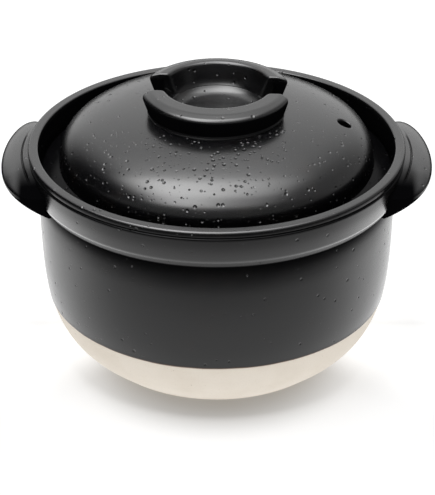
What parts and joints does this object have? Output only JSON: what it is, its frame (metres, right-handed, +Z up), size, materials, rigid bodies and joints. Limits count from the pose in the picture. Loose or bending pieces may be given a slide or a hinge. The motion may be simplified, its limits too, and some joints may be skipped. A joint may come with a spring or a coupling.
{
  "type": "lidded rice pot",
  "caption": "Round glazed earthenware pot with a deep collar, ear handles, a flat pressing lid inside and a domed outer lid under a split ring grip.",
  "frame": {"origin": "middle of the foot, on the surface that the pot stands on", "axes": "+X from the pot's axis to the right handle, +Y to the back, +Z up along the axis that the pot and both lids are turned about"},
  "size_m": [0.2556, 0.2242, 0.169],
  "materials": {
    "black_glaze": "satin",
    "bare_clay": "matte"
  },
  "bodies": {
    "pot": {"pot_body": "black_glaze", "handle_left": "black_glaze", "handle_right": "black_glaze"},
    "inner_lid": {"inner_lid": "black_glaze", "inner_lid_knob": "black_glaze"},
    "outer_lid": {"outer_lid": "black_glaze", "lid_grip_front": "black_glaze", "lid_grip_rear": "black_glaze"}
  },
  "joints": [
    {"name": "inner_lid_lift", "type": "slide", "parent": "pot", "child": "inner_lid", "axis": [0, 0, 1], "range_m": [0, 0.06]},
    {"name": "outer_lid_lift", "type": "slide", "parent": "inner_lid", "child": "outer_lid", "axis": [0, 0, 1], "range_m": [0, 0.08]}
  ]
}
